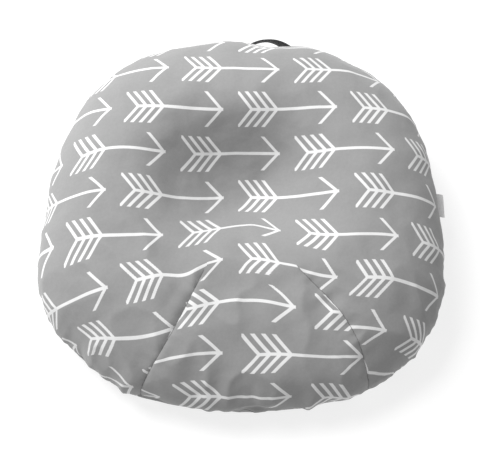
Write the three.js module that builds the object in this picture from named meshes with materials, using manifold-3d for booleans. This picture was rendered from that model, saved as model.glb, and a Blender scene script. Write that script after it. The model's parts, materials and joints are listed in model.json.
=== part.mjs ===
// Dished infant pillow: a fibre-filled insert inside a zipped, printed slipcover.
// Millimetres, +Z up, +Y towards the head end, origin on the floor at the middle of the base.

import * as THREE from 'three';
import { mergeVertices } from 'three/addons/utils/BufferGeometryUtils.js';
import Module from 'manifold-3d';

const wasm = await Module();
wasm.setup();

// Outline seen from above
const overallWidth = 584;
const overallLength = 559;
const outlineSquareness = 2.65; // 2 is an ellipse, more is squarer
const footWidening = 0.065; // how much the foot half is wider than the head half

// Heights above the floor
const headHeight = 178;
const footHeight = 128;
const sideFullness = 0.6; // under 1 keeps the sides nearly as high as the head end
const seamHeightHead = 85;
const seamHeightFoot = 35;
const dishHeight = 80;

// The dish
const dishCentreY = 25;
const crestShareHead = 0.555; // how far out the crest of the ring is, from the dish's middle
const crestShareFoot = 0.37;
const crestShareSideExtra = 0.155;
const ringFullness = 2.3; // 2 is an ellipse in section
const baseShare = 0.86; // the part of the outline that lies flat

// Layers, as depths below the cover's outer face
const coverThickness = 1.0;
const layerGap = 0.4;
const seamTapeThickness = 0.6;
const tickingThickness = 1.0;
const seamTapeWidth = 10;
const partingGap = 0.3;

// Darts at the foot end, as directions from the dish's middle, in degrees from +X
const dartAngleLeft = 247;
const dartAngleRight = 303;
const dartAllowance = 10;

// Inner wall round the dish
const baffleShare = 0.6; // of the way from the dish's middle to the crest
const baffleThickness = 1.0;

// Zipper in the underside, along X
const zipperY = 118;
const zipperLength = 380;
const zipperWindowWidth = 30;
const tapeOverlap = 3.5; // of each tape on its panel
const zipperTapeThickness = 0.6;
const zipperMidHeight = 6.0;
const coilWidth = 2.6;
const coilHeight = 2.2;
const coilGap = 1.6;
const sliderLength = 12;
const sliderWidth = 10;
const sliderPlate = 1.1;
const sliderClearance = 0.4;
const pullLength = 26;
const pullWidth = 7;
const pullThickness = 1.0;
const pullEyeBar = 1.1;
const stopLength = 3;
const tapeEndLength = 16; // at least; the pull needs its own length past the ends
const tapeRampStart = 3; // from the tape's inner edge
const tapeRampEnd = 1.5; // from the window's edge
const stopExtraHeight = 0.6; // of a stop over the coil
const sliderBevel = 0.5;

// Carrying handle on the head end
const handleCentreX = 38;
const handleSpan = 130; // between the ends' stitching
const handleStandOff = 28; // the loop's middle from the wall
const handleHeight = 70; // middle of the webbing above the floor
const webbingWidth = 25;
const webbingThickness = 2.0;
const handleMovingHalf = 36;
const handleEndLength = 22;
const handleWallGap = 0.5;
const tackWidth = 4;
const tackHeight = 20;
const tackThickness = 0.8;

// Labels
const sideLabelY = 26;
const sideLabelLength = 38;
const sideLabelReach = 11;
const sideLabelThickness = 1.4;
const careLabelSize = [30, 45];
const careLabelPlace = [90, 40];
const insertLabelSize = [70, 45];
const insertLabelPlace = [-90, -20];
const labelThickness = 0.5;

// How finely the soft forms are divided
const angleSteps = 48;
const dishSteps = 6;
const ringSteps = 6;
const underSteps = 3;

const tapeDepth = coverThickness + layerGap;
const tickingDepth = tapeDepth + seamTapeThickness + layerGap;
const innerTapeDepth = tickingDepth + tickingThickness + layerGap;
const fillDepth = innerTapeDepth + seamTapeThickness + layerGap;

// ---------- the soft form

function rawOutline(angle) {
  const c = Math.cos(angle);
  const s = Math.sin(angle);
  const power = outlineSquareness;
  const reach = (Math.abs(c) ** power + Math.abs(s) ** power) ** (-1 / power);
  return [reach * c * (1 - footWidening * reach * s), reach * s];
}

const outlineWidest = Math.max(
  ...Array.from({ length: 721 }, (_, i) => rawOutline((i * Math.PI) / 360)[0]),
);

function outline(angle) {
  const [x, y] = rawOutline(angle);
  return [((overallWidth / 2) * x) / outlineWidest, (overallLength / 2) * y];
}

const seamHeight = (y) =>
  (seamHeightHead + seamHeightFoot) / 2 + ((seamHeightHead - seamHeightFoot) * y) / overallLength;

function headShare(angle) {
  return (1 + Math.sin(angle)) / 2;
}

function crestShare(angle) {
  const along = crestShareFoot + (crestShareHead - crestShareFoot) * headShare(angle);
  return along + crestShareSideExtra * Math.cos(angle) ** 2;
}

// A point of the outer face: t runs 0..1 up the dish, 1..2 down to the seam, 2..3 under, 3..4 base.
function facePoint(angle, t) {
  const [x, y] = outline(angle);
  const crest = footHeight + (headHeight - footHeight) * headShare(angle) ** sideFullness;
  const seam = seamHeight(y);
  const round = 2 / ringFullness;
  let share;
  let z;
  if (t <= 1) {
    share = crestShare(angle) * t;
    z = dishHeight + ((crest - dishHeight) * (1 - Math.cos(Math.PI * t))) / 2;
  } else if (t <= 2) {
    const turn = ((t - 1) * Math.PI) / 2;
    share = crestShare(angle) + (1 - crestShare(angle)) * Math.sin(turn) ** round;
    z = seam + (crest - seam) * Math.max(Math.cos(turn), 0) ** round;
  } else if (t <= 3) {
    const turn = ((t - 2) * Math.PI) / 2;
    share = baseShare + (1 - baseShare) * Math.max(Math.cos(turn), 0) ** round;
    z = seam * (1 - Math.sin(turn) ** round);
  } else {
    share = baseShare * (4 - t);
    z = 0;
  }
  return new THREE.Vector3(share * x, dishCentreY + share * (y - dishCentreY), z);
}

function faceNormal(angle, t) {
  const step = 0.01;
  const across = facePoint(angle + step, t).sub(facePoint(angle - step, t));
  const along = facePoint(angle, Math.min(t + step, 4)).sub(facePoint(angle, Math.max(t - step, 0)));
  return along.cross(across).normalize();
}

const insetPoint = (angle, t, depth) => facePoint(angle, t).addScaledVector(faceNormal(angle, t), -depth);

const sectionStops = [
  ...Array.from({ length: dishSteps }, (_, i) => (i + 1) / dishSteps),
  ...Array.from({ length: ringSteps }, (_, i) => 1 + (i + 1) / ringSteps),
  ...Array.from({ length: underSteps }, (_, i) => 2 + (i + 1) / underSteps),
];

// The whole pillow's outer form, moved in by a depth, as one closed solid.
function formAtDepth(depth) {
  const rings = sectionStops.length;
  const points = [];
  for (const t of sectionStops) {
    for (let i = 0; i < angleSteps; i += 1) {
      points.push(insetPoint((i * 2 * Math.PI) / angleSteps, t, depth));
    }
  }
  const top = points.push(new THREE.Vector3(0, dishCentreY, dishHeight - depth)) - 1;
  const bottom = points.push(new THREE.Vector3(0, dishCentreY, depth)) - 1;
  const faces = [];
  for (let i = 0; i < angleSteps; i += 1) {
    const next = (i + 1) % angleSteps;
    const last = (rings - 1) * angleSteps;
    faces.push(top, i, next);
    faces.push(bottom, last + next, last + i);
    for (let ring = 0; ring < rings - 1; ring += 1) {
      const a = ring * angleSteps + i;
      const b = ring * angleSteps + next;
      faces.push(a, a + angleSteps, b + angleSteps);
      faces.push(a, b + angleSteps, b);
    }
  }
  return solidFrom(points.flatMap((p) => p.toArray()), faces);
}

// ---------- solids and meshes

function solidFrom(coordinates, faces) {
  const mesh = new wasm.Mesh({
    numProp: 3,
    vertProperties: new Float32Array(coordinates),
    triVerts: new Uint32Array(faces),
  });
  return new wasm.Manifold(mesh);
}

function solidOf(geometry) {
  const bare = geometry.clone();
  bare.deleteAttribute('normal');
  bare.deleteAttribute('uv');
  const merged = mergeVertices(bare, 1e-4);
  return solidFrom(merged.getAttribute('position').array, merged.index.array);
}

function geometryOf(solid) {
  const mesh = solid.getMesh();
  const geometry = new THREE.BufferGeometry();
  geometry.setAttribute('position', new THREE.BufferAttribute(mesh.vertProperties, 3));
  geometry.setIndex(new THREE.BufferAttribute(mesh.triVerts, 1));
  return geometry;
}

function block(low, high) {
  const size = high.map((value, i) => value - low[i]);
  const geometry = new THREE.BoxGeometry(...size);
  geometry.translate(...low.map((value, i) => value + size[i] / 2));
  return solidOf(geometry);
}

const farAway = 2 * Math.max(overallWidth, overallLength, headHeight);

// Everything between two offsets from the sloping plane that the perimeter seam lies in.
function slabAtSeam(low, high) {
  const geometry = new THREE.BoxGeometry(farAway, farAway, high - low);
  geometry.translate(0, 0, (high + low) / 2);
  geometry.rotateX(Math.atan2(seamHeightHead - seamHeightFoot, overallLength));
  geometry.translate(0, 0, seamHeight(0));
  return solidOf(geometry);
}

function upright(shape) {
  const geometry = new THREE.ExtrudeGeometry(shape, { depth: farAway, bevelEnabled: false });
  geometry.translate(0, 0, -farAway / 4);
  return solidOf(geometry);
}

// ---------- materials

const colours = {
  print: ['#9a9a9a', 0.85, 0],
  seam: ['#6f6f6f', 0.9, 0],
  webbing: ['#3d3d3f', 0.8, 0],
  thread: ['#2c2c2e', 0.8, 0],
  satin: ['#eeeeee', 0.4, 0],
  ticking: ['#f4f3ef', 0.9, 0],
  fibre: ['#fbfbfb', 1, 0],
  tape: ['#8b8b8b', 0.85, 0],
  nylon: ['#808184', 0.45, 0],
  zinc: ['#a9abad', 0.35, 1],
};

const group = new THREE.Group();

function addPart(name, geometry, finish, parent = group) {
  const [color, roughness, metalness] = colours[finish];
  const mesh = new THREE.Mesh(geometry, new THREE.MeshStandardMaterial({ color, roughness, metalness }));
  mesh.name = name;
  parent.add(mesh);
  return mesh;
}

// ---------- the layers

const coverOuter = formAtDepth(0);
const coverInner = formAtDepth(coverThickness);
const tapeOuter = formAtDepth(tapeDepth);
const tapeInner = formAtDepth(tapeDepth + seamTapeThickness);
const tickingOuter = formAtDepth(tickingDepth);
const tickingInner = formAtDepth(tickingDepth + tickingThickness);
const innerTapeOuter = formAtDepth(innerTapeDepth);
const innerTapeInner = formAtDepth(innerTapeDepth + seamTapeThickness);
const fillForm = formAtDepth(fillDepth);

const aboveSeam = slabAtSeam(partingGap / 2, farAway);
const belowSeam = slabAtSeam(-farAway, -partingGap / 2);
const seamBand = slabAtSeam(-seamTapeWidth / 2, seamTapeWidth / 2);
const clearOfSeamBand = slabAtSeam(seamTapeWidth / 2 + partingGap, farAway);

// The zipper's window in the base, and the room over it that the insert leaves free.
const sliderTop = zipperMidHeight + coilHeight / 2 + sliderClearance + sliderPlate;
const windowHalfLength = zipperLength / 2 + Math.max(tapeEndLength, pullLength);

function zipperRoom(extra) {
  const halfLength = windowHalfLength + tapeOverlap + extra;
  const halfWidth = zipperWindowWidth / 2 + tapeOverlap + layerGap + extra;
  const top = sliderTop + layerGap + extra;
  return block([-halfLength, zipperY - halfWidth, -1], [halfLength, zipperY + halfWidth, top]);
}

const tickingHollow = tickingInner.subtract(zipperRoom(tickingThickness));
const ticking = tickingOuter.subtract(zipperRoom(0)).subtract(tickingHollow);
const innerRoom = zipperRoom(tickingThickness + layerGap);
const fillRoom = fillForm.subtract(innerRoom);

// ---------- slipcover

function addCover() {
  const shell = coverOuter.subtract(coverInner);
  addPart('cover_top_panel', geometryOf(shell.intersect(aboveSeam)), 'print');

  const pan = shell.intersect(belowSeam);
  const opening = block(
    [-windowHalfLength, zipperY - zipperWindowWidth / 2, -1],
    [windowHalfLength, zipperY + zipperWindowWidth / 2, coverThickness + 1],
  );
  const footSide = block([-farAway, -farAway, -farAway], [farAway, zipperY - partingGap / 2, farAway]);
  const headSide = block([-farAway, zipperY + partingGap / 2, -farAway], [farAway, farAway, farAway]);
  const openPan = pan.subtract(opening);
  addPart('cover_base_front_panel', geometryOf(openPan.intersect(footSide)), 'print');
  addPart('cover_base_rear_panel', geometryOf(openPan.intersect(headSide)), 'print');

  const tapeLayer = tapeOuter.subtract(tapeInner);
  addPart('perimeter_seam_tape', geometryOf(tapeLayer.intersect(seamBand)), 'seam');

  const darts = { dart_seam_left: dartAngleLeft, dart_seam_right: dartAngleRight };
  for (const [name, degrees] of Object.entries(darts)) {
    const angle = THREE.MathUtils.degToRad(degrees);
    const start = facePoint(angle, 1);
    const end = facePoint(angle, 2);
    const run = new THREE.Vector2(end.x - start.x, end.y - start.y).normalize();
    const side = new THREE.Vector2(-run.y, run.x).multiplyScalar(dartAllowance / 2);
    const from = new THREE.Vector2(start.x, start.y);
    const to = new THREE.Vector2(end.x, end.y).addScaledVector(run, dartAllowance);
    const shape = new THREE.Shape([
      from.clone().add(side),
      from.clone().sub(side),
      to.clone().sub(side),
      to.clone().add(side),
    ]);
    const strip = tapeLayer.intersect(clearOfSeamBand).intersect(upright(shape));
    addPart(name, geometryOf(strip), 'seam');
  }
}

// ---------- insert

function dishShape(share, margin) {
  const shape = new THREE.Shape();
  for (let i = 0; i < angleSteps; i += 1) {
    const angle = (i * 2 * Math.PI) / angleSteps;
    const rim = facePoint(angle, 1);
    const reach = new THREE.Vector2(rim.x, rim.y - dishCentreY).multiplyScalar(share);
    reach.setLength(reach.length() + margin);
    if (i === 0) {
      shape.moveTo(reach.x, dishCentreY + reach.y);
    } else {
      shape.lineTo(reach.x, dishCentreY + reach.y);
    }
  }
  shape.closePath();
  return shape;
}

function addInsert() {
  addPart('insert_top_shell', geometryOf(ticking.intersect(aboveSeam)), 'ticking');
  addPart('insert_bottom_shell', geometryOf(ticking.intersect(belowSeam)), 'ticking');

  const closingHalf = handleSpan / 2;
  const innerTape = innerTapeOuter.subtract(innerTapeInner).intersect(seamBand);
  const closing = block([-closingHalf, 0, 0], [closingHalf, farAway, farAway]);
  const aroundClosing = block(
    [-closingHalf - partingGap, 0, 0],
    [closingHalf + partingGap, farAway, farAway],
  );
  addPart('insert_seam_tape', geometryOf(innerTape.subtract(aroundClosing)), 'ticking');
  addPart('insert_closing_stitch', geometryOf(innerTape.intersect(closing)), 'thread');

  const outerWall = upright(dishShape(baffleShare, baffleThickness));
  const innerWall = upright(dishShape(baffleShare, 0));
  const baffleForm = innerTapeOuter.subtract(innerRoom);
  addPart('inner_baffle', geometryOf(baffleForm.intersect(outerWall).subtract(innerWall)), 'ticking');

  const ringWall = upright(dishShape(baffleShare, baffleThickness + layerGap));
  const centreWall = upright(dishShape(baffleShare, -layerGap));
  addPart('ring_fill', geometryOf(fillRoom.subtract(ringWall)), 'fibre');
  addPart('centre_fill', geometryOf(fillRoom.intersect(centreWall)), 'fibre');
}

// ---------- zipper

const points2 = (pairs) => pairs.map(([a, b]) => new THREE.Vector2(a, b));

// A section given as [across, up] pairs, drawn out along +X from a start.
function along(section, startX, length) {
  const shape = new THREE.Shape(points2(section));
  const geometry = new THREE.ExtrudeGeometry(shape, { depth: length, bevelEnabled: false });
  geometry.applyMatrix4(new THREE.Matrix4().set(0, 0, 1, startX, 1, 0, 0, 0, 0, 1, 0, 0, 0, 0, 0, 1));
  return geometry;
}

const coilIn = coilGap / 2;
const coilOut = coilIn + coilWidth;

function tapeSection() {
  const under = coverThickness + partingGap;
  const over = zipperMidHeight - zipperTapeThickness / 2;
  const inEdge = coilOut + partingGap;
  const outEdge = zipperWindowWidth / 2 + tapeOverlap;
  const rampIn = inEdge + tapeRampStart;
  const rampOut = zipperWindowWidth / 2 - tapeRampEnd;
  const thick = zipperTapeThickness;
  return [
    [inEdge, over],
    [rampIn, over],
    [rampOut, under],
    [outEdge, under],
    [outEdge, under + thick],
    [rampOut + thick / 2, under + thick],
    [rampIn + thick / 2, over + thick],
    [inEdge, over + thick],
  ];
}

function coilSection() {
  const half = coilHeight / 2;
  const shoulderIn = coilIn + coilWidth / 3;
  const shoulderOut = coilOut - coilWidth / 4;
  return [
    [coilIn, -half / 2],
    [shoulderIn, -half],
    [shoulderOut, -half],
    [coilOut, -half / 2],
    [coilOut, half / 2],
    [shoulderOut, half],
    [shoulderIn, half],
    [coilIn, half / 2],
  ];
}

function addZipper() {
  const stopX = zipperLength / 2 + partingGap + stopLength / 2;
  const stopHeight = coilHeight + stopExtraHeight;
  const overCover = formAtDepth(coverThickness + partingGap);
  for (const [side, sign] of [['front', -1], ['rear', 1]]) {
    const half = new THREE.Group();
    half.position.y = zipperY;
    half.rotation.z = sign > 0 ? 0 : Math.PI;
    group.add(half);
    const tape = along(tapeSection(), -windowHalfLength, 2 * windowHalfLength);
    tape.rotateZ(half.rotation.z);
    tape.translate(0, zipperY, 0);
    addPart(`zipper_tape_${side}`, geometryOf(solidOf(tape).intersect(overCover)), 'tape');
    const chain = along(coilSection(), -zipperLength / 2, zipperLength);
    const coil = addPart(`zipper_coil_${side}`, chain, 'nylon', half);
    coil.position.z = zipperMidHeight;
    const topStop = new THREE.BoxGeometry(stopLength, coilWidth, stopHeight);
    const stop = addPart(`zipper_top_stop_${side}`, topStop, 'zinc', half);
    stop.position.set(-sign * stopX, coilIn + coilWidth / 2, zipperMidHeight);
  }
  const bottomStop = new THREE.BoxGeometry(stopLength, 2 * coilOut - partingGap, stopHeight);
  const bottom = addPart('zipper_bottom_stop', bottomStop, 'zinc');
  bottom.position.set(stopX, zipperY, zipperMidHeight);
  addSlider();
}

// The slider's plates are joined by a post between the two coils; its lips let the tapes through.
function sliderSection() {
  const inner = coilHeight / 2 + sliderClearance;
  const outer = inner + sliderPlate;
  const lip = zipperTapeThickness / 2 + sliderClearance;
  const lipIn = coilOut + sliderClearance;
  const post = coilIn - sliderClearance;
  const half = sliderWidth / 2;
  const quarter = [
    [post, inner],
    [lipIn, inner],
    [lipIn, lip],
    [half, lip],
    [half, outer - sliderBevel],
    [half - sliderBevel, outer],
  ];
  const mirrored = (x, z) => quarter.map(([a, b]) => [a * x, b * z]);
  return [
    ...quarter,
    ...mirrored(-1, 1).reverse(),
    ...mirrored(-1, -1),
    ...mirrored(1, -1).reverse(),
  ];
}

function addSlider() {
  const under = -(coilHeight / 2 + sliderClearance + sliderPlate);
  const slider = new THREE.Group();
  slider.position.set(partingGap - zipperLength / 2, zipperY, zipperMidHeight);
  group.add(slider);

  // The bridge under the outer plate, which the pull's eye hangs on.
  const bar = 0.7;
  const eyeHeight = pullThickness + 0.7;
  const bridgeHalf = 1.2;
  const bridgeFrom = 3;
  const bridgeTo = sliderLength - 2;
  const bridge = block(
    [bridgeFrom, -bridgeHalf, under - eyeHeight - bar],
    [bridgeTo, bridgeHalf, under + bar / 2],
  );
  const eye = block(
    [bridgeFrom + bar, -2 * bridgeHalf, under - eyeHeight],
    [bridgeTo - bar, 2 * bridgeHalf, under],
  );
  const body = solidOf(along(sliderSection(), 0, sliderLength));
  addPart('zipper_slider', geometryOf(body.add(bridge.subtract(eye))), 'zinc', slider);

  // The pull lies along the zipper with its eye round the bridge's far leg.
  const clear = 0.35;
  const eyeIn = bridgeTo - bar - clear;
  const heel = eyeIn - pullEyeBar;
  const tip = heel + pullLength;
  const half = pullWidth / 2;
  const plate = new THREE.Shape();
  plate.moveTo(heel, 1 - half);
  plate.lineTo(heel + 1, -half);
  plate.absarc(tip - half, 0, half, -Math.PI / 2, Math.PI / 2, false);
  plate.lineTo(heel + 1, half);
  plate.lineTo(heel, half - 1);
  plate.closePath();
  const slotHalf = bridgeHalf + clear;
  const slotLength = bridgeTo - bridgeFrom;
  const slot = new THREE.Path(points2([
    [eyeIn, -slotHalf],
    [eyeIn, slotHalf],
    [eyeIn + slotLength, slotHalf],
    [eyeIn + slotLength, -slotHalf],
  ]));
  plate.holes.push(slot);
  const pull = new THREE.ExtrudeGeometry(plate, {
    depth: pullThickness,
    bevelEnabled: false,
    curveSegments: 6,
  });
  pull.translate(0, 0, under - eyeHeight / 2 - pullThickness / 2);
  addPart('zipper_pull', pull, 'zinc', slider);
}

// ---------- handle and labels

// The outer face's point at a height under the seam, in one direction from the dish's middle.
function facePointAtHeight(angle, z) {
  const seam = seamHeight(outline(angle)[1]);
  const sine = Math.max(1 - z / seam, 0) ** (ringFullness / 2);
  return facePoint(angle, 2 + (Math.asin(sine) * 2) / Math.PI);
}

// How far back the head end's wall is, at a place across and a height under the seam.
function headWallY(x, z) {
  let low = 0;
  let high = Math.PI;
  for (let i = 0; i < 40; i += 1) {
    const middle = (low + high) / 2;
    if (facePointAtHeight(middle, z).x > x) {
      low = middle;
    } else {
      high = middle;
    }
  }
  return facePointAtHeight(low, z).y;
}

// The webbing follows the wall at its ends and bows away from it between them.
function webbing(from, to, steps) {
  const inner = [];
  const outer = [];
  for (let i = 0; i <= steps; i += 1) {
    const u = from + ((to - from) * i) / steps;
    const bow = Math.abs(u) < handleSpan / 2 ? Math.cos((u * Math.PI) / handleSpan) ** 2 : 0;
    const x = handleCentreX + u;
    const y = headWallY(x, handleHeight + webbingWidth / 2) + handleWallGap + bow * handleStandOff;
    inner.push(new THREE.Vector2(x, y));
    outer.unshift(new THREE.Vector2(x, y + webbingThickness));
  }
  const shape = new THREE.Shape([...inner, ...outer]);
  const geometry = new THREE.ExtrudeGeometry(shape, { depth: webbingWidth, bevelEnabled: false });
  geometry.translate(0, 0, handleHeight - webbingWidth / 2);
  return geometry;
}

function addHandle() {
  const end = handleSpan / 2 + handleEndLength;
  const still = handleMovingHalf + partingGap;
  addPart('handle_strap', webbing(-handleMovingHalf, handleMovingHalf, 16), 'webbing');
  addPart('handle_end_left', webbing(-end, -still, 10), 'webbing');
  addPart('handle_end_right', webbing(still, end, 10), 'webbing');
  const out = handleWallGap + webbingThickness + partingGap;
  for (const [name, sign] of [['handle_tack_left', -1], ['handle_tack_right', 1]]) {
    const x = handleCentreX + sign * (end - handleEndLength / 2);
    const edge = headWallY(x, handleHeight + webbingWidth / 2);
    const slope = headWallY(x + 1, handleHeight + webbingWidth / 2) - edge;
    const box = new THREE.BoxGeometry(tackWidth, tackThickness, tackHeight);
    const tack = addPart(name, box, 'thread');
    tack.rotation.z = Math.atan(slope);
    tack.position.set(x, edge + out + tackThickness / 2 + Math.abs(slope) * tackWidth, handleHeight);
  }
}

function addLabels() {
  const widest = outline(0)[0];
  const seam = seamHeight(sideLabelY);
  const layer = (sideLabelThickness - partingGap) / 2;
  const half = sideLabelThickness / 2;
  const folded = new THREE.Shape(points2([
    [0, -half],
    [sideLabelReach, -half],
    [sideLabelReach, half],
    [0, half],
    [0, half - layer],
    [sideLabelReach - layer, half - layer],
    [sideLabelReach - layer, layer - half],
    [0, layer - half],
  ]));
  const label = new THREE.ExtrudeGeometry(folded, { depth: sideLabelLength, bevelEnabled: false });
  label.rotateX(Math.PI / 2);
  const side = addPart('side_label', label, 'satin');
  const turningRoom = sideLabelThickness / 2 + layerGap;
  side.position.set(widest + turningRoom, sideLabelY + sideLabelLength / 2, seam);

  const between = (coverThickness + tickingDepth) / 2;
  const flats = [
    ['care_label', careLabelSize, careLabelPlace],
    ['insert_label', insertLabelSize, insertLabelPlace],
  ];
  for (const [name, size, place] of flats) {
    const flat = addPart(name, new THREE.BoxGeometry(...size, labelThickness), 'satin');
    flat.position.set(...place, between);
  }
}

addCover();
addInsert();
addZipper();
addHandle();
addLabels();

export default group;
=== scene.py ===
import json
import math

import bmesh
import bpy
import numpy as np
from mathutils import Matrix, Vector, noise

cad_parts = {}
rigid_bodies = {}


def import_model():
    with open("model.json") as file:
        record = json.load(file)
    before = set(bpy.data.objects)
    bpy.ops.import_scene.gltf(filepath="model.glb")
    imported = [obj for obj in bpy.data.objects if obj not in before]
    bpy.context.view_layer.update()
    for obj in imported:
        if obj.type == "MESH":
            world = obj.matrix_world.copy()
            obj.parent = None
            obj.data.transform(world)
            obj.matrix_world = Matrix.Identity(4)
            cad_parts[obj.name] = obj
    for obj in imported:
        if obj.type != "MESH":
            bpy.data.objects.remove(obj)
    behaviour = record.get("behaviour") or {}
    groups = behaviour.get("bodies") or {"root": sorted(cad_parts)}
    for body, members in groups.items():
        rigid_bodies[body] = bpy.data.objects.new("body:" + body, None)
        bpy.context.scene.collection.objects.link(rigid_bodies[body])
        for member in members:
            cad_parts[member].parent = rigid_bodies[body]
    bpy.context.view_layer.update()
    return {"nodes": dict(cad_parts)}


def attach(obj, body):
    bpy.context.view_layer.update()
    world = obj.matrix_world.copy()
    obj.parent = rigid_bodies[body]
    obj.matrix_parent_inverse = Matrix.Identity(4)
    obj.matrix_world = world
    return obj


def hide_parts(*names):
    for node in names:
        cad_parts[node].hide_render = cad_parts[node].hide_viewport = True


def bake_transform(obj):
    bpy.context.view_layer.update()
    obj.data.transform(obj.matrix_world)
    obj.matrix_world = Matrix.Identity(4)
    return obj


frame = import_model()

# the pillow's form, as the CAD has it, in metres
form = {
    "width": 0.584,
    "length": 0.559,
    "squareness": 2.65,
    "footWider": 0.065,
    "head": 0.178,
    "foot": 0.128,
    "sideFullness": 0.6,
    "seamHead": 0.085,
    "seamFoot": 0.035,
    "dish": 0.080,
    "dishY": 0.025,
    "crestHead": 0.555,
    "crestFoot": 0.37,
    "crestSide": 0.155,
    "fullness": 2.3,
    "base": 0.86,
}


def rawOutline(angle):
    c, s = np.cos(angle), np.sin(angle)
    power = form["squareness"]
    reach = (np.abs(c) ** power + np.abs(s) ** power) ** (-1 / power)
    return reach * c * (1 - form["footWider"] * reach * s), reach * s


widest = rawOutline(np.linspace(0, 2 * np.pi, 721))[0].max()


def outlineAt(angle):
    x, y = rawOutline(angle)
    return x * form["width"] / 2 / widest, y * form["length"] / 2


seamSlope = (form["seamHead"] - form["seamFoot"]) / form["length"]


def seamAt(y):
    return (form["seamHead"] + form["seamFoot"]) / 2 + seamSlope * y


def crestShareAt(angle):
    head = (1 + np.sin(angle)) / 2
    share = form["crestFoot"] + (form["crestHead"] - form["crestFoot"]) * head
    return share + form["crestSide"] * np.cos(angle) ** 2


def crestAt(angle):
    head = (1 + np.sin(angle)) / 2
    return form["foot"] + (form["head"] - form["foot"]) * head ** form["sideFullness"]


# t runs 0..1 up the dish, 1..2 down to the seam, 2..3 under and 3..4 across the base.
def formPoint(angle, t):
    x, y = outlineAt(angle)
    crest = crestAt(angle)
    seam, top = seamAt(y), crestShareAt(angle)
    bend = 2 / form["fullness"]
    turn = (t % 1) * np.pi / 2
    rise, fall = np.sin(turn) ** bend, np.maximum(np.cos(turn), 0) ** bend
    base = form["base"]
    share = np.select(
        [t < 1, t < 2, t < 3],
        [top * t, top + (1 - top) * rise, base + (1 - base) * fall],
        base * (4 - t),
    )
    z = np.select(
        [t < 1, t < 2, t < 3],
        [
            form["dish"] + (crest - form["dish"]) * (1 - np.cos(np.pi * t)) / 2,
            seam + (crest - seam) * fall,
            seam * (1 - rise),
        ],
        0.0,
    )
    middle = form["dishY"]
    return np.stack([share * x, middle + share * (y - middle), z], -1)


def insetPoint(angle, t, depth):
    step = 0.004
    along = formPoint(angle, np.minimum(t + step, 3.999)) - formPoint(angle, np.maximum(t - step, 0.001))
    across = formPoint(angle + step, t) - formPoint(angle - step, t)
    normal = np.cross(along, across)
    normal /= np.linalg.norm(normal, axis=-1, keepdims=True)
    return formPoint(angle, t) - normal * np.expand_dims(depth, -1)


def easeIn(low, high, value):
    share = np.clip((value - low) / (high - low), 0, 1)
    return share * share * (3 - 2 * share)


# the outline again, as directions from the dish's middle
turns = np.linspace(0, 2 * np.pi, 1440, endpoint=False)
rimX, rimY = outlineAt(turns)
rimDirection = np.unwrap(np.arctan2(rimY - form["dishY"], rimX))
rimReach = np.hypot(rimX, rimY - form["dishY"])
rimLength = np.concatenate([[0], np.cumsum(np.hypot(np.diff(rimX), np.diff(rimY)))])


def aroundRim(direction, values):
    return np.interp(direction, rimDirection, values, period=2 * np.pi)


def rimAngle(direction):
    return direction + aroundRim(direction, turns - rimDirection)


def polar(points):
    x, y = points[:, 0], points[:, 1] - form["dishY"]
    return np.arctan2(y, x) % (2 * np.pi), np.hypot(x, y)


def objectFrom(name, points, faces):
    mesh = bpy.data.meshes.new(name)
    mesh.from_pydata([tuple(p) for p in points], [], [tuple(int(i) for i in f) for f in faces])
    mesh.update()
    obj = bpy.data.objects.new(name, mesh)
    bpy.context.scene.collection.objects.link(obj)
    return obj


def select(obj):
    bpy.ops.object.select_all(action="DESELECT")
    obj.select_set(True)
    bpy.context.view_layer.objects.active = obj


def addModifier(obj, kind, **settings):
    modifier = obj.modifiers.new(kind.title(), kind)
    for key, value in settings.items():
        setattr(modifier, key, value)
    return modifier


def applyAll(obj):
    select(obj)
    for modifier in list(obj.modifiers):
        bpy.ops.object.modifier_apply(modifier=modifier.name)


def coordinates(obj):
    flat = np.empty(len(obj.data.vertices) * 3)
    obj.data.vertices.foreach_get("co", flat)
    return flat.reshape(-1, 3)


def moveTo(obj, points):
    obj.data.vertices.foreach_set("co", np.asarray(points, float).ravel())
    obj.data.update()


def normals(obj):
    flat = np.empty(len(obj.data.vertices) * 3)
    obj.data.vertices.foreach_get("normal", flat)
    return flat.reshape(-1, 3)


def shadeSmooth(obj, degrees=None):
    select(obj)
    if degrees is None:
        bpy.ops.object.shade_smooth()
    else:
        bpy.ops.object.shade_smooth_by_angle(angle=math.radians(degrees))


def faceOutwards(obj):
    select(obj)
    bpy.ops.object.mode_set(mode="EDIT")
    bpy.ops.mesh.select_all(action="SELECT")
    bpy.ops.mesh.normals_make_consistent(inside=False)
    bpy.ops.object.mode_set(mode="OBJECT")


# The whole pillow form moved in by a depth, which can be a function of the height.
def closedForm(name, depth, rings, spokes):
    inDepth = depth if callable(depth) else (lambda z: np.full_like(z, depth))
    t = np.linspace(0, 4, rings + 2)[1:-1]
    angle = np.arange(spokes) * 2 * np.pi / spokes
    t, angle = np.meshgrid(t, angle, indexing="ij")
    height = formPoint(angle, t)[..., 2]
    points = insetPoint(angle, t, inDepth(height)).reshape(-1, 3)
    middle = form["dishY"]
    top, bottom = float(inDepth(np.array([form["dish"]]))[0]), float(inDepth(np.array([0.0]))[0])
    points = np.vstack([points, [0, middle, form["dish"] - top], [0, middle, bottom]])
    topPole, bottomPole = len(points) - 2, len(points) - 1
    faces, last = [], (rings - 1) * spokes
    for i in range(spokes):
        j = (i + 1) % spokes
        faces.append((topPole, i, j))
        faces.append((bottomPole, last + j, last + i))
        for ring in range(rings - 1):
            a, b = ring * spokes + i, ring * spokes + j
            faces.append((a, a + spokes, b + spokes, b))
    return objectFrom(name, points, faces)


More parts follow.
